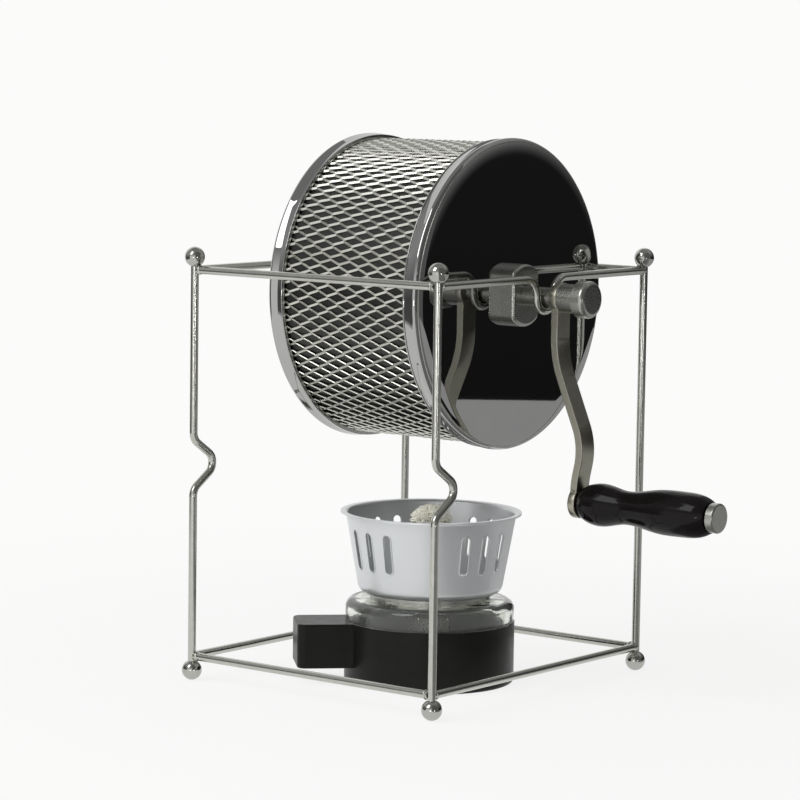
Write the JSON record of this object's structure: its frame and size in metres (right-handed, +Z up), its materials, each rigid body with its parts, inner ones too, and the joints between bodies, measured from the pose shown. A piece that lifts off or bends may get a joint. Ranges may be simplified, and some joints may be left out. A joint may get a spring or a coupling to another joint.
{
  "type": "hand-cranked coffee bean roaster",
  "caption": "Hand-cranked bean roaster: wire stand with ball corners, mesh drum with mirror-polished caps on an axle in notched rails, crank with black grip, and a spirit burner below.",
  "frame": {"origin": "on the floor, midway between the four posts", "axes": "+Z up, +X along the axle towards the crank, -Y towards the kinked front posts"},
  "size_m": [0.2574, 0.18, 0.2706],
  "materials": {
    "stand_wire": "bright drawn steel wire, polished",
    "stand_ball": "polished steel",
    "turned_steel": "polished turned steel",
    "crank_steel": "polished flat steel bar",
    "mirror_steel": "mirror-polished stainless sheet",
    "mesh_steel": "bright expanded stainless mesh",
    "liner_sheet": "dull dark steel sheet",
    "grip_black": "glossy black",
    "base_black": "satin black moulding",
    "jar_glass": "clear glass",
    "guard_aluminium": "satin aluminium",
    "wick_fibre": "loose cream fibre"
  },
  "bodies": {
    "stand": {"post_front_far": "stand_wire", "post_front_crank": "stand_wire", "post_back_crank": "stand_wire", "post_back_far": "stand_wire", "top_ball_front_far": "stand_ball", "top_ball_front_crank": "stand_ball", "top_ball_back_crank": "stand_ball", "top_ball_back_far": "stand_ball", "foot_ball_front_far": "stand_ball", "foot_ball_front_crank": "stand_ball", "foot_ball_back_crank": "stand_ball", "foot_ball_back_far": "stand_ball", "bottom_rail_crank": "stand_wire", "bottom_rail_far": "stand_wire", "bottom_rail_front": "stand_wire", "bottom_rail_back": "stand_wire", "top_rail_crank": "stand_wire", "top_rail_far": "stand_wire", "top_rail_front": "stand_wire", "top_rail_back": "stand_wire"},
    "drum": {"axle": "turned_steel", "near_cap": "mirror_steel", "drum_liner": "liner_sheet", "drum_mesh": "mesh_steel", "near_hoop": "mesh_steel", "far_hoop": "mesh_steel", "hub_collar": "turned_steel", "collar_set_screw": "turned_steel", "hub_nut": "turned_steel", "crank_arm": "crank_steel", "arm_spacer": "turned_steel", "axle_knob": "turned_steel", "grip_spindle": "turned_steel", "spindle_rivet": "turned_steel"},
    "lid": {"bean_lid": "mirror_steel", "lid_bush": "turned_steel"},
    "grip": {"grip": "grip_black"},
    "burner": {"burner_base": "base_black", "burner_handle": "base_black", "fuel_reservoir": "jar_glass"},
    "burner_head": {"reservoir_collar": "guard_aluminium", "wick_tube": "turned_steel", "wick": "wick_fibre", "wind_guard": "guard_aluminium"}
  },
  "joints": [
    {"name": "drum_spin", "type": "hinge", "parent": "stand", "child": "drum", "pos_m": [0, 0, 0.1947], "axis": [1, 0, 0], "continuous": true},
    {"name": "lid_pull", "type": "slide", "parent": "drum", "child": "lid", "axis": [-1, 0, 0], "range_m": [0, 0.025]},
    {"name": "grip_spin", "type": "hinge", "parent": "drum", "child": "grip", "pos_m": [0.098, 0, 0.0969], "axis": [1, 0, 0], "continuous": true},
    {"name": "burner_lift", "type": "slide", "parent": "stand", "child": "burner", "axis": [0, 0, 1], "range_m": [0, 0.016]},
    {"name": "burner_head_lift", "type": "slide", "parent": "burner", "child": "burner_head", "axis": [0, 0, 1], "range_m": [0, 0.016]}
  ]
}
